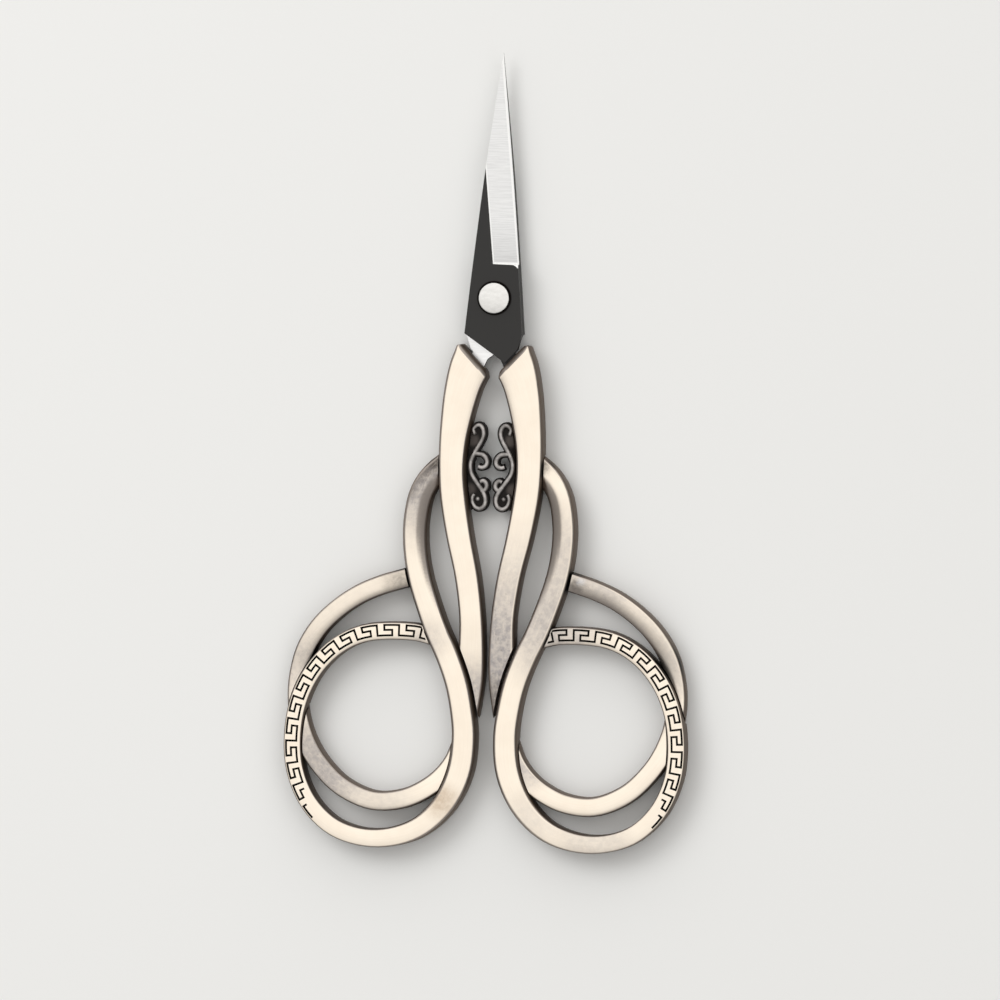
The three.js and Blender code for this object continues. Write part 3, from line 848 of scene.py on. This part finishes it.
def make_blade(name, lean, turned):
    """A blade lying on its inner face, or the other one turned over."""
    blade = as_object(plate(blade_outline(lean), 0, BLADE_THICKNESS), name)
    fit(blade, grind_mesh(lean))
    fit(blade, block(tang_places(0), 0, TANG_THICKNESS), "UNION")
    hole = bmesh.new()
    radius, depth = HOLE_RADIUS * MM, 4 * BLADE_THICKNESS * MM
    bmesh.ops.create_cone(
        hole, cap_ends=True, segments=HOLE_SIDES, radius1=radius, radius2=radius, depth=depth,
    )
    fit(blade, hole)
    without_slivers(blade)
    height = MIDDLE - BLADE_GAP / 2 if turned else MIDDLE + BLADE_GAP / 2
    turn = Matrix.Rotation(math.pi if turned else 0, 4, "Y")
    blade.data.transform(Matrix.Translation((0, 0, height * MM)) @ turn)
    blade.data.set_sharp_from_angle(angle=GROUND_SHARP)
    print(name + ":", len(blade.data.polygons), "faces")
    return blade


front_blade = make_blade("front_blade_steel", BLADE_LEAN, turned=False)
back_blade = make_blade("back_blade_steel", -BLADE_LEAN, turned=True)

# %% [markdown]
# ## The rivet
#
# A turned rivet with two flat heads. Three cylinders would do, but the heads have soft edges. So the
# outline of one head is listed and reflected for the other, and the whole is spun round the pivot.

# %% Rivet
HEAD = [(0, 0), (2.12, 0), (2.26, 0.05), (2.32, 0.18), (2.32, 0.5), (1.2, 0.5)]  # radius and height
RIVET = HEAD + [(radius, THICKNESS - height) for radius, height in reversed(HEAD)]
RIVET_SIDES = 64
rivet_mesh = bmesh.new()
corners = [rivet_mesh.verts.new((r * MM, 0, z * MM)) for r, z in RIVET]
profile = [rivet_mesh.edges.new(pair) for pair in zip(corners, corners[1:])]
bmesh.ops.spin(
    rivet_mesh, geom=corners + profile, cent=(0, 0, 0), axis=(0, 0, 1), angle=2 * math.pi,
    steps=RIVET_SIDES, use_merge=True, use_duplicate=False,
)
bmesh.ops.remove_doubles(rivet_mesh, verts=rivet_mesh.verts, dist=SLIVER * MM)
bmesh.ops.recalc_face_normals(rivet_mesh, faces=rivet_mesh.faces)
rivet = as_object(rivet_mesh, "rivet_steel")
print("rivet:", len(rivet.data.polygons), "faces")

# %% [markdown]
# ## Finishes
#
# Every finish is a small tree of procedural nodes. Wires between nodes are easier to read as sums and
# products, so one class stands for a wire and adds a node for each sign. Positions are the object's
# own coordinates in millimetres, so a finish stays on its piece when the scissors open.

# %% Wires
def feed(socket, value):
    """Links a wire to an input socket, or sets the socket to a constant."""
    if isinstance(value, Wire):
        value.tree.links.new(value.socket, socket)
    else:
        socket.default_value = value


class Wire:
    """An output socket of a node tree. Sums, products and so on of wires add Math nodes."""

    def __init__(self, tree, socket=None):
        self.tree, self.socket = tree, socket

    def add(self, kind, inputs=None, out=0, **settings):
        """Any other node: first its settings, then its sockets by name or number."""
        node = self.tree.nodes.new(kind)
        for name, value in settings.items():
            setattr(node, name, value)
        for key, value in (inputs or {}).items():
            feed(node.inputs[key], value)
        return Wire(self.tree, node.outputs[out])

    def math(self, operation, *values):
        """A Math node with this wire as its first value."""
        return self.add("ShaderNodeMath", dict(enumerate((self, *values))), operation=operation)

    def __add__(self, other):
        return self.math("ADD", other)

    __radd__ = __add__

    def __sub__(self, other):
        return self.math("SUBTRACT", other)

    def __rsub__(self, other):
        return self * -1 + other

    def __mul__(self, other):
        return self.math("MULTIPLY", other)

    __rmul__ = __mul__

    def __abs__(self):
        return self.math("ABSOLUTE")

    def ramp(self, low, high):
        """0 below low, 1 above high and soft between; the other way round if high is the lower."""
        return self.add(
            "ShaderNodeMapRange", {"Value": self, "From Min": low, "From Max": high},
            interpolation_type="SMOOTHSTEP",
        )

    def mix(self, a, b):
        """Colour a where this wire is 0 and b where it is 1."""
        a, b = (value if isinstance(value, Wire) else (*value, 1) for value in (a, b))
        return self.add("ShaderNodeMix", {0: self, 6: a, 7: b}, out=2, data_type="RGBA")

    def axis(self, name):
        return self.add("ShaderNodeSeparateXYZ", {0: self}, out="XYZ".index(name))

    def scaled(self, *factors):
        return self.add("ShaderNodeVectorMath", {0: self, 1: factors}, operation="MULTIPLY")

    def noise(self, scale, detail=3.0, rough=0.55):
        inputs = {"Vector": self, "Scale": scale, "Detail": detail, "Roughness": rough}
        return self.add("ShaderNodeTexNoise", inputs)

    def distance(self, x, y):
        """Distance from an upright line."""
        inputs = {0: self.scaled(1, 1, 0), 1: (x, y, 0)}
        return self.add("ShaderNodeVectorMath", inputs, out="Value", operation="DISTANCE")


def finish_of(name):
    """A new material with its start wire and its shader."""
    material = bpy.data.materials.new(name)
    material.use_nodes = True
    tree = material.node_tree
    return material, Wire(tree), tree.nodes["Principled BSDF"]


def plug(shader, **wires):
    """Wires or constants into the shader's sockets, with _ for blanks in their names."""
    for name, value in wires.items():
        feed(shader.inputs[name.replace("_", " ")], value)


def dress(material, *pieces):
    """The only material of these pieces."""
    for piece in pieces:
        piece.data.materials.clear()
        piece.data.materials.append(material)
    print(material.name + ":", len(material.node_tree.nodes), "nodes on", [piece.name for piece in pieces])


def position(start):
    return start.add("ShaderNodeTexCoord", out="Object").scaled(1 / MM, 1 / MM, 1 / MM)


def own_normal(start):
    return start.add("ShaderNodeTexCoord", out="Normal")


# %% [markdown]
# ## Antique brass
#
# The castings are plated in pale brass, darkened all over and then polished on the faces only. So
# the faces are bright, the walls stay brown, the key stays black, and the shoulders change from one
# to the other. A mask could be painted for that, but the piece's own normal tells the same and fits
# any mesh. Faint polishing lines run along the strips, on the UV map that was laid in millimetres.
# The floors of the laps are black, as patina and as painted shade. Grey and brown spots are partly
# grey, pitted plating and partly painted shade where a strip dips under another or meets it, and a
# few are scuffed to silver. Black painted shade lies on the walls where strips meet. On the right
# handle the shoulders that face right carry a painted highlight.

# %% Brass
POLISHED = (0.89, 0.8, 0.685)
PALER = (0.85, 0.755, 0.64)
# grey, pitted plating, and also painted shade where a strip dips under another
GREY_STAIN_AND_SHADE = (0.39, 0.362, 0.355)
SILVERED = (0.82, 0.82, 0.84)
HONEY = (0.5, 0.38, 0.27)
# painted brown shade where a strip dips under another or meets it
UMBER_SHADE = (0.1, 0.086, 0.076)
TARNISH = (0.42, 0.37, 0.335)
PITTED = (0.18, 0.145, 0.125)
PATINA = (0.13, 0.094, 0.069)
# the key's black filling, and also painted black shade on lap floors, at joints and round the rivet
BLACK_FILL_AND_SHADE = (0.008, 0.007, 0.006)
STREAKS, SCUFFS = (0.12, 5, 1), (0.5, 3, 1)  # marks to a millimetre along and across a strip


def make_brass(name, rubbed_and_highlight, joint_shade, stains_and_shade):
    """Antique brass. The second argument is 1 on the right handle, whose shoulders facing right get a
    painted highlight, and 0 on the left.
    """
    material, start, shader = finish_of(name)
    spot = position(start)
    normal = abs(own_normal(start).axis("Z"))
    off = abs(spot.axis("Z") - MIDDLE)
    way = start.add("ShaderNodeUVMap", uv_map="way")
    streaks = way.scaled(*STREAKS).noise(1.0)
    cloud = spot.noise(0.35)
    grain = spot.noise(3.5, 4.0, 0.6)

    # bare metal, the part of it that is polished, and a painted highlight on the shoulders that face right
    facing = normal + (grain - 0.5) * 0.05
    worn = facing.ramp(0.45, 0.78) * off.ramp(0.3, 0.6)
    shoulder = normal.ramp(0.99, 0.965) * normal.ramp(0.78, 0.88)
    painted_right_highlight = shoulder * own_normal(start).axis("X").ramp(0.05, 0.2) * rubbed_and_highlight
    polish = facing.ramp(0.85, 0.98).math("MAXIMUM", painted_right_highlight)

    # black: the key's filling, the floors of the laps as patina and painted shade, and painted shade on
    # the walls where strips meet
    engraved = start.add("ShaderNodeAttribute", out="Fac", attribute_name="engraved")
    black_fill_and_shade = (engraved + normal.ramp(0.3, 0.6) * off.ramp(0.6, 0.3)).math("MINIMUM", 1)
    walls = normal.ramp(0.85, 0.5) * spot.axis("Z").ramp(1.2, 3)
    # painted black shade on the walls round each joint
    for x, y, near, far in joint_shade:
        black_fill_and_shade = black_fill_and_shade.math("MAXIMUM", spot.distance(x, y).ramp(far, near) * walls)

    # the polished colour with its stains and its spots of painted shade
    scuffs = way.scaled(*SCUFFS).noise(1.2, 6.0, 0.75).ramp(0.5, 0.8) * 0.7
    pits = spot.noise(2.6, 4.0, 0.65).ramp(0.58, 0.7) * 0.6
    mottle = spot.noise(1.2, 3.0, 0.6).ramp(0.3, 0.7) * 0.45 + 0.72
    colour = (0.5 * streaks + 0.5 * cloud).ramp(0.35, 0.65).mix(PALER, POLISHED)
    rough = 0.24 + 0.12 * streaks
    for x, y, near, far, strength, tone in stains_and_shade:
        amount = (spot.distance(x, y) + grain).ramp(far + 0.5, near + 0.5) * strength
        amount = (amount * mottle * (1 - painted_right_highlight * 0.85)).math("MINIMUM", 1)
        colour = amount.mix(colour, pits.mix(scuffs.mix(tone, PALER), PITTED))
        rough = rough + amount * 0.1
    colour = black_fill_and_shade.mix(worn.mix(PATINA, polish.mix(TARNISH, colour)), BLACK_FILL_AND_SHADE)
    plug(shader, Base_Color=colour, Metallic=0.6 + 0.4 * worn, Roughness=0.5 + worn * (rough - 0.5))
    plug(shader, Specular_IOR_Level=0.2)
    return material


# painted black shade on the walls where strips meet: x, y, radius of the core and of the whole spot
JOINT_SHADE = [(12.6, -42.4, 1.2, 2.4), (9.6, -50.6, 1.0, 2.2), (27.4, -54.5, 1.5, 4.0), (8.3, -25.6, 0.8, 1.8)]
LEFT_JOINT_SHADE = [(-x, *rest) for x, *rest in JOINT_SHADE]
# grey and brown spots, partly stains and partly painted shade where strips dip or meet: the same four,
# strength and colour
STAINS_AND_SHADE = {
    right_arm: [(2, -62, 8, 32, 0.9, GREY_STAIN_AND_SHADE), (1.3, -60, 0.5, 4.5, 0.6, UMBER_SHADE)],
    right_bow: [
        (7.6, -24.7, 0.4, 2.4, 0.85, UMBER_SHADE), (10.4, -41, 3, 14, 0.5, GREY_STAIN_AND_SHADE),
        (9.8, -50.8, 2, 10, 0.55, GREY_STAIN_AND_SHADE), (17, -81.5, 2, 8, 0.35, GREY_STAIN_AND_SHADE),
        (7.9, -77.5, 1, 6, 0.25, GREY_STAIN_AND_SHADE),
    ],
    right_band: [
        (22, -46, 8, 17, 0.3, GREY_STAIN_AND_SHADE), (16, -43.6, 2, 7, 0.35, GREY_STAIN_AND_SHADE),
        (13.4, -42.9, 0.4, 1.8, 0.6, UMBER_SHADE), (14.1, -42.2, 0.1, 1, 0.5, SILVERED),
        (28.2, -56, 1.5, 6, 0.3, GREY_STAIN_AND_SHADE), (6.6, -70, 1, 5, 0.6, GREY_STAIN_AND_SHADE),
    ],
    left_arm: [(-2, -64, 5, 12, 0.7, GREY_STAIN_AND_SHADE)],
    left_bow: [
        (-10.4, -27, 2, 10, 0.8, GREY_STAIN_AND_SHADE), (-8.6, -24.4, 0.6, 3, 1, UMBER_SHADE),
        (-10.7, -26.4, 0.3, 2.8, 0.85, UMBER_SHADE), (-12.1, -29, 0.2, 2.4, 0.6, UMBER_SHADE),
        (-10.8, -32, 1, 9, 0.3, GREY_STAIN_AND_SHADE), (-9, -51.5, 0.5, 5, 0.35, GREY_STAIN_AND_SHADE),
        (-6.4, -75.6, 0.5, 4, 0.6, HONEY),
    ],
    left_band: [
        (-22, -46, 8, 18, 0.15, GREY_STAIN_AND_SHADE), (-13, -43, 0.5, 4, 0.5, UMBER_SHADE), (-28, -57, 2, 8, 0.4, GREY_STAIN_AND_SHADE),
        (-24.8, -68, 1, 6, 0.35, UMBER_SHADE), (-24.2, -70, 3, 9, 0.7, GREY_STAIN_AND_SHADE), (-19, -76, 4, 11, 0.3, GREY_STAIN_AND_SHADE),
    ],
}
# the right handle's pieces get the painted highlight on their shoulders that face right
for piece, stains_and_shade in STAINS_AND_SHADE.items():
    right = piece.name.startswith("right")
    joint_shade = JOINT_SHADE if right else LEFT_JOINT_SHADE
    dress(make_brass(piece.name + "_finish", 1 if right else 0, joint_shade, stains_and_shade), piece)

# %% [markdown]
# ## Blackened and ground steel
#
# The blades are black except where they were ground: the sloping face and the inner face. Those show
# fine cross lines from the wheel. The border of the ground face, the heel line and the cutting edge are
# painted white as highlights, and a ring of painted shade lies round the rivet's head. Two materials
# would meet in a hard step, so one finish finds the ground faces by their slope and place.

# %% Blade steel
BLACKENED = (0.024, 0.023, 0.022)
GROUND = (0.9, 0.9, 0.9)
WHEEL_LINES = (0.62, 0.62, 0.62)
# white of the painted highlight lines on the blade
LINE_HIGHLIGHT = (0.97, 0.97, 0.96)
RIM_SHADE = (2.68, 2.5)  # radii where the painted shade round the rivet's head begins and where it is full
WHEEL_GRAIN = (0.25, 6, 0.25)  # lines to a millimetre along x, y and z
# painted highlight lines along the ground face's border, at the heel and along the cutting edge
BORDER_HIGHLIGHT, HEEL_HIGHLIGHT, CUTTING_EDGE_HIGHLIGHT = (0.25, 0.1), (0.36, 0.2), (0.38, 0.33)  # where each fades and is full
FINE_GRIND = (4, 13)  # y between which the wheel's lines get finer


def make_blade_steel(name, lean, side):
    material, start, shader = finish_of(name)
    spot = position(start)
    steep = abs(own_normal(start).axis("Z"))
    off = (spot.axis("Z") - MIDDLE) * side
    x, y = spot.axis("X") * side, spot.axis("Y")
    heel_x, change = grind_border(lean)
    (heel_y, heel_width), (low_y, low_width) = BLADE_ROWS[1:]
    beyond = x - ((y - heel_y) * change + heel_x)
    ground = steep.ramp(0.5, 0.62) * steep.ramp(0.985, 0.96)
    spine = (y - heel_y) * ((heel_width - low_width) / (low_y - heel_y) / 2) + heel_width / 2
    inner = off.ramp(0.25, 0.15) * steep.ramp(0.9, 0.95) * (x + spine).ramp(0.35, 0.6)
    lines = spot.scaled(*WHEEL_GRAIN).noise(1.0, 4.0, 0.7)
    to_tip = own_normal(start).axis("Y").ramp(0.3, 0.6)
    # the heel wall, the ground face's border and the cutting edge are painted white as highlights
    heel = to_tip * y.ramp(4, 4.2) * y.ramp(heel_y + 0.2, heel_y + 0.1)
    borders = beyond.ramp(*BORDER_HIGHLIGHT) + (y - heel_y).ramp(*HEEL_HIGHLIGHT) + off.ramp(*CUTTING_EDGE_HIGHLIGHT)
    painted_line_highlight = (borders * ground + heel).math("MINIMUM", 1)
    bright = (ground + inner + heel).math("MINIMUM", 1)
    fine = (y.ramp(*FINE_GRIND) + inner).math("MINIMUM", 1)
    silver = (0.5 * lines.ramp(0.3, 0.7) + 0.5 * fine).mix(WHEEL_LINES, GROUND)
    # a ring of painted black shade round the rivet's head, without a sheen
    ring = spot.distance(0, 0).ramp(*RIM_SHADE)
    colour = bright.mix(ring.mix(BLACKENED, BLACK_FILL_AND_SHADE), painted_line_highlight.mix(silver, LINE_HIGHLIGHT))
    rough = 0.52 - bright * (0.25 - lines * 0.15)
    plug(shader, Base_Color=colour, Metallic=bright.math("MAXIMUM", ring), Roughness=rough)
    plug(shader, Specular_IOR_Level=0.3)
    return material


dress(make_blade_steel("front_steel", BLADE_LEAN, 1), front_blade)
dress(make_blade_steel("back_steel", -BLADE_LEAN, -1), back_blade)

# %% [markdown]
# ## Turned steel
#
# The rivet's heads are faced on a lathe, which leaves fine rings, and handling has scratched them. The
# rings are too fine to model, so a wave over the distance from the axis draws them.

# %% Rivet steel
TURNED, SCRATCHED, WALL_OXIDE_AND_SHADE = (0.81, 0.8, 0.78), (0.7, 0.69, 0.67), (0.05, 0.045, 0.04)
LATHE_RINGS = 34  # turn of the rings' wave over 1 mm, in radians


def make_rivet_steel(name):
    material, start, shader = finish_of(name)
    spot = position(start)
    radius = spot.distance(0, 0)
    flat = abs(own_normal(start).axis("Z")).ramp(0.3, 0.7)
    rings = (radius * LATHE_RINGS).math("SINE")
    scratches = spot.scaled(1.2, 2.4, 1).noise(1.0, 5.0, 0.65)
    tone = (scratches * 0.9 + rings * 0.05).ramp(0.25, 0.7)
    # the rounded edges of the heads are nearly black, as dark oxide and as painted shade round the head
    colour = flat.mix(WALL_OXIDE_AND_SHADE, tone.mix(SCRATCHED, TURNED))
    plug(shader, Base_Color=colour, Metallic=1.0, Roughness=0.34)
    return material


dress(make_rivet_steel("turned_steel"), rivet)

# %% [markdown]
# ## Pewter
#
# The scrolls are black, rubbed bright on top of their lines, and a little lighter in the open middle
# of each plate. What was rubbed is what stands high, so the height of a point is enough, and no mask
# has to be painted.

# %% Scroll pewter
DULL_LINE, BRIGHT_LINE = (0.27, 0.255, 0.245), (0.5, 0.475, 0.46)
DARK_PLATE, LIGHTER_PLATE = (0.012, 0.01, 0.009), (0.075, 0.064, 0.058)
LIGHTER_PLATE_SPOTS = [(2.9, -21.4), (3.3, -28.8)]  # on the right scroll, and the same on the left
LIGHTER_PLATE_RADII = (1.3, 0.4)


def make_pewter(name):
    material, start, shader = finish_of(name)
    spot = position(start)
    raised = spot.axis("Z") + (spot.noise(2.5) - 0.5) * 0.16
    rubbed_and_highlight = raised.ramp(PLATE_TOP + 0.05, LINE_TOP - 0.12)
    lines = spot.noise(0.9, 4.0).ramp(0.35, 0.65).mix(DULL_LINE, BRIGHT_LINE)
    # the plate is black, with lighter spots in the open middles of the plates
    ground = DARK_PLATE
    for x, y in LIGHTER_PLATE_SPOTS:
        for side in (1, -1):
            ground = spot.distance(side * x, y).ramp(*LIGHTER_PLATE_RADII).mix(ground, LIGHTER_PLATE)
    plug(shader, Base_Color=rubbed_and_highlight.mix(ground, lines), Metallic=rubbed_and_highlight, Roughness=0.7 - rubbed_and_highlight * 0.25)
    plug(shader, Specular_IOR_Level=0.15)
    return material


dress(make_pewter("blackened_pewter"), right_scroll, left_scroll)

# %% [markdown]
# ## Into the frame
#
# Each visual piece stands for one solid and rides on that solid's body: the front half with the
# rivet, and the back half that swings round it.

# %% Pieces and bodies
TABLE = [
    (front_blade, "front_blade", "front_half", "blade_steel"),
    (back_blade, "back_blade", "back_half", "blade_steel"),
    (rivet, "pivot_rivet", "front_half", "rivet_steel"),
    (right_arm, "right_arm", "front_half", "handle_brass"),
    (right_bow, "right_bow", "front_half", "handle_brass"),
    (right_band, "right_inner_band", "front_half", "handle_brass"),
    (right_scroll, "right_scroll", "front_half", "scroll_metal"),
    (left_arm, "left_arm", "back_half", "handle_brass"),
    (left_bow, "left_bow", "back_half", "handle_brass"),
    (left_band, "left_inner_band", "back_half", "handle_brass"),
    (left_scroll, "left_scroll", "back_half", "scroll_metal"),
]
for piece, node, body, slot in TABLE:
    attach(piece, body)
    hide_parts(node)

# %% [markdown]
# ## Floor, light and camera
#
# The scissors lie on a pale table under a wide soft screen. It is dark at both sides and towards the
# viewer, so that rounded edges show up, and one large soft lamp stands at the upper left. The camera
# looks almost straight down, from slightly right, through a long lens as in a picture of goods for
# sale.

# %% Floor
FLOOR = 30.0  # in metres, like the lamp and the camera below
FLOOR_DROP = 2e-5  # keeps the floor clear of the backs of the handles
PAPER = (0.8, 0.8, 0.79, 1)
floor_mesh = bmesh.new()
bmesh.ops.create_grid(floor_mesh, size=FLOOR / 2, matrix=Matrix.Translation((0, 0, -FLOOR_DROP)))
floor = as_object(floor_mesh, "floor")
paper, _, paper_shader = finish_of("pale_paper")
plug(paper_shader, Base_Color=PAPER, Roughness=0.9)
dress(paper, floor)
print("floor:", FLOOR, "m wide")

# %% Sky and lamp
SKY, SKY_LEAST, SKY_FRONT = 1.12, 0.1, 0.3  # strength, least strength, share kept towards the viewer
SKY_COLOUR = (1, 0.99, 0.97, 1)
RIGHT_FADE, LEFT_FADE, FRONT_FADE = (0.9, 0.5), (-1.05, -0.55), (-0.65, -0.1)  # from dark to full
LAMP_SPOT = Vector((-0.42, 0.36, 0.66))
LAMP_SIZE, LAMP_POWER = 0.5, 2.0
world = bpy.data.worlds.new("soft_sky")
bpy.context.scene.world = world
world.use_nodes = True
sky = Wire(world.node_tree)
way = sky.add("ShaderNodeTexCoord", out="Generated")
across, up = way.axis("X"), way.axis("Y")
sides = across.ramp(*RIGHT_FADE) * across.ramp(*LEFT_FADE)
back = world.node_tree.nodes["Background"]
level = sides * (up.ramp(*FRONT_FADE) * (1 - SKY_FRONT) + SKY_FRONT) * SKY + SKY_LEAST
plug(back, Strength=level, Color=SKY_COLOUR)

lamp_data = bpy.data.lights.new("key", "AREA")
lamp_data.shape = "DISK"
lamp_data.size = LAMP_SIZE
lamp_data.energy = LAMP_POWER
lamp = linked("key", lamp_data)
lamp.visible_glossy = False  # the polished faces mirror the screen alone
lamp.location = LAMP_SPOT
lamp.rotation_euler = (-LAMP_SPOT).to_track_quat("-Z", "Y").to_euler()
print("lamp:", LAMP_POWER, "W,", round(LAMP_SPOT.length, 2), "m from the rivet")

# %% Camera
TARGET = Vector((1.65, -30.25, THICKNESS)) * MM
YAW, PITCH, ROLL = (math.radians(angle) for angle in (8, 2, 1.31))
DISTANCE = 2.0
LENS = 480
camera_data = bpy.data.cameras.new("camera")
camera_data.lens = LENS
camera = linked("camera", camera_data)
bpy.context.scene.camera = camera
back_way = Vector((math.sin(YAW) * math.cos(PITCH), math.sin(PITCH), math.cos(YAW) * math.cos(PITCH)))
right_way = Vector((-math.sin(ROLL), math.cos(ROLL), 0)).cross(back_way).normalized()
up_way = back_way.cross(right_way)
spot = Matrix.Translation(TARGET + back_way * DISTANCE)
camera.matrix_world = spot @ Matrix((right_way, up_way, back_way)).transposed().to_4x4()
bpy.context.scene.view_settings.view_transform = "Standard"
print("camera:", [round(value, 3) for value in camera.matrix_world.translation])
